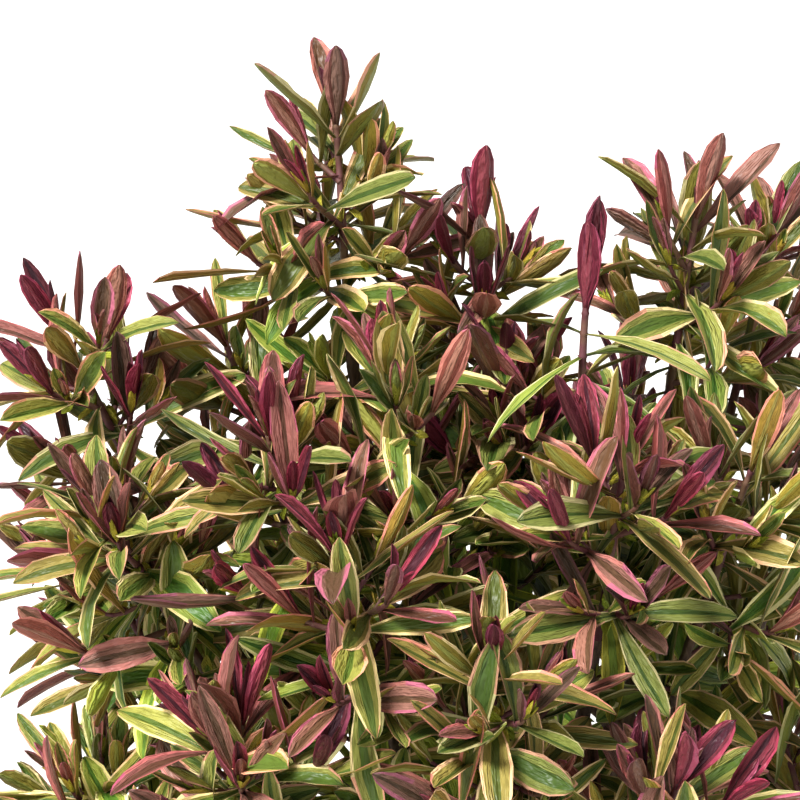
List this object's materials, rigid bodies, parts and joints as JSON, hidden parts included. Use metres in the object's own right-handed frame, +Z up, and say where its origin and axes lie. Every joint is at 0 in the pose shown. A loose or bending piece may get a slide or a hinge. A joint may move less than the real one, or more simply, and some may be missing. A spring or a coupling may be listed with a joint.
{
  "type": "purple shamrock hebe shrub",
  "caption": "Small rounded evergreen garden shrub with narrow pointed leaves in wine, rose, olive and cream-edged green.",
  "frame": {"origin": "middle of the flat cut under the trunk, at ground level", "axes": "+Z up; -Y towards the side seen in the picture, +X to the right of that view"},
  "size_m": [0.3846, 0.3448, 0.3973],
  "materials": {
    "bark": "dark brown bark of the trunk and the boughs, rough, lightly fissured, with leaf scars",
    "young_bark": "smooth red-brown to purple bark of the young shoots",
    "wine_leaves": "young leaves, deep wine red, satin, with a dusky mauve middle",
    "rose_leaves": "leaves with a dusky mauve-grey middle and rose-pink margins, satin",
    "olive_leaves": "leaves with an olive to brown-green middle and salmon to peach margins, satin",
    "cream_leaves": "grown leaves with a grey-green middle and cream-yellow margins, satin",
    "shade_leaves": "inner leaves, lime to yellow green, satin",
    "leaf_buds": "tiny folded leaves at the shoot tips, lime to gold"
  },
  "bodies": {
    "root": {"trunk": "bark", "bough_spire": "bark", "bough_spire_east": "bark", "bough_centre_high": "bark", "bough_west_mid": "bark", "bough_west_high": "bark", "bough_far_west": "bark", "bough_west_low": "bark", "bough_west_skirt": "bark", "bough_centre_left": "bark", "bough_centre_front": "bark", "bough_low_west": "bark", "bough_mid_east": "bark", "bough_low_centre": "bark", "bough_low_east": "bark", "bough_east_high": "bark", "bough_east_bud": "bark", "bough_centre_east": "bark", "bough_east_side": "bark", "bough_mid_far_east": "bark", "bough_east_low": "bark", "bough_east_far": "bark", "bough_back_east": "bark", "bough_back_east_low": "bark", "bough_back_west": "bark", "bough_back_west_low": "bark", "bough_front_skirt": "bark", "bough_east_skirt": "bark", "bough_back_skirt": "bark", "bough_back_low": "bark", "foliage_spire": "rose_leaves", "foliage_spire_east": "wine_leaves", "foliage_centre_high": "rose_leaves", "foliage_west_mid": "olive_leaves", "foliage_west_high": "wine_leaves", "foliage_far_west": "olive_leaves", "foliage_west_low": "rose_leaves", "foliage_west_skirt": "cream_leaves", "foliage_centre_left": "rose_leaves", "foliage_centre_front": "rose_leaves", "foliage_low_west": "wine_leaves", "foliage_mid_east": "wine_leaves", "foliage_low_centre": "rose_leaves", "foliage_low_east": "wine_leaves", "foliage_east_high": "rose_leaves", "foliage_east_bud": "wine_leaves", "foliage_centre_east": "wine_leaves", "foliage_east_side": "olive_leaves", "foliage_mid_far_east": "olive_leaves", "foliage_east_low": "cream_leaves", "foliage_east_far": "rose_leaves", "foliage_back_east": "wine_leaves", "foliage_back_east_low": "cream_leaves", "foliage_back_west": "rose_leaves", "foliage_back_west_low": "cream_leaves", "foliage_front_skirt": "cream_leaves", "foliage_east_skirt": "cream_leaves", "foliage_back_skirt": "cream_leaves", "foliage_back_low": "olive_leaves"}
  },
  "joints": []
}
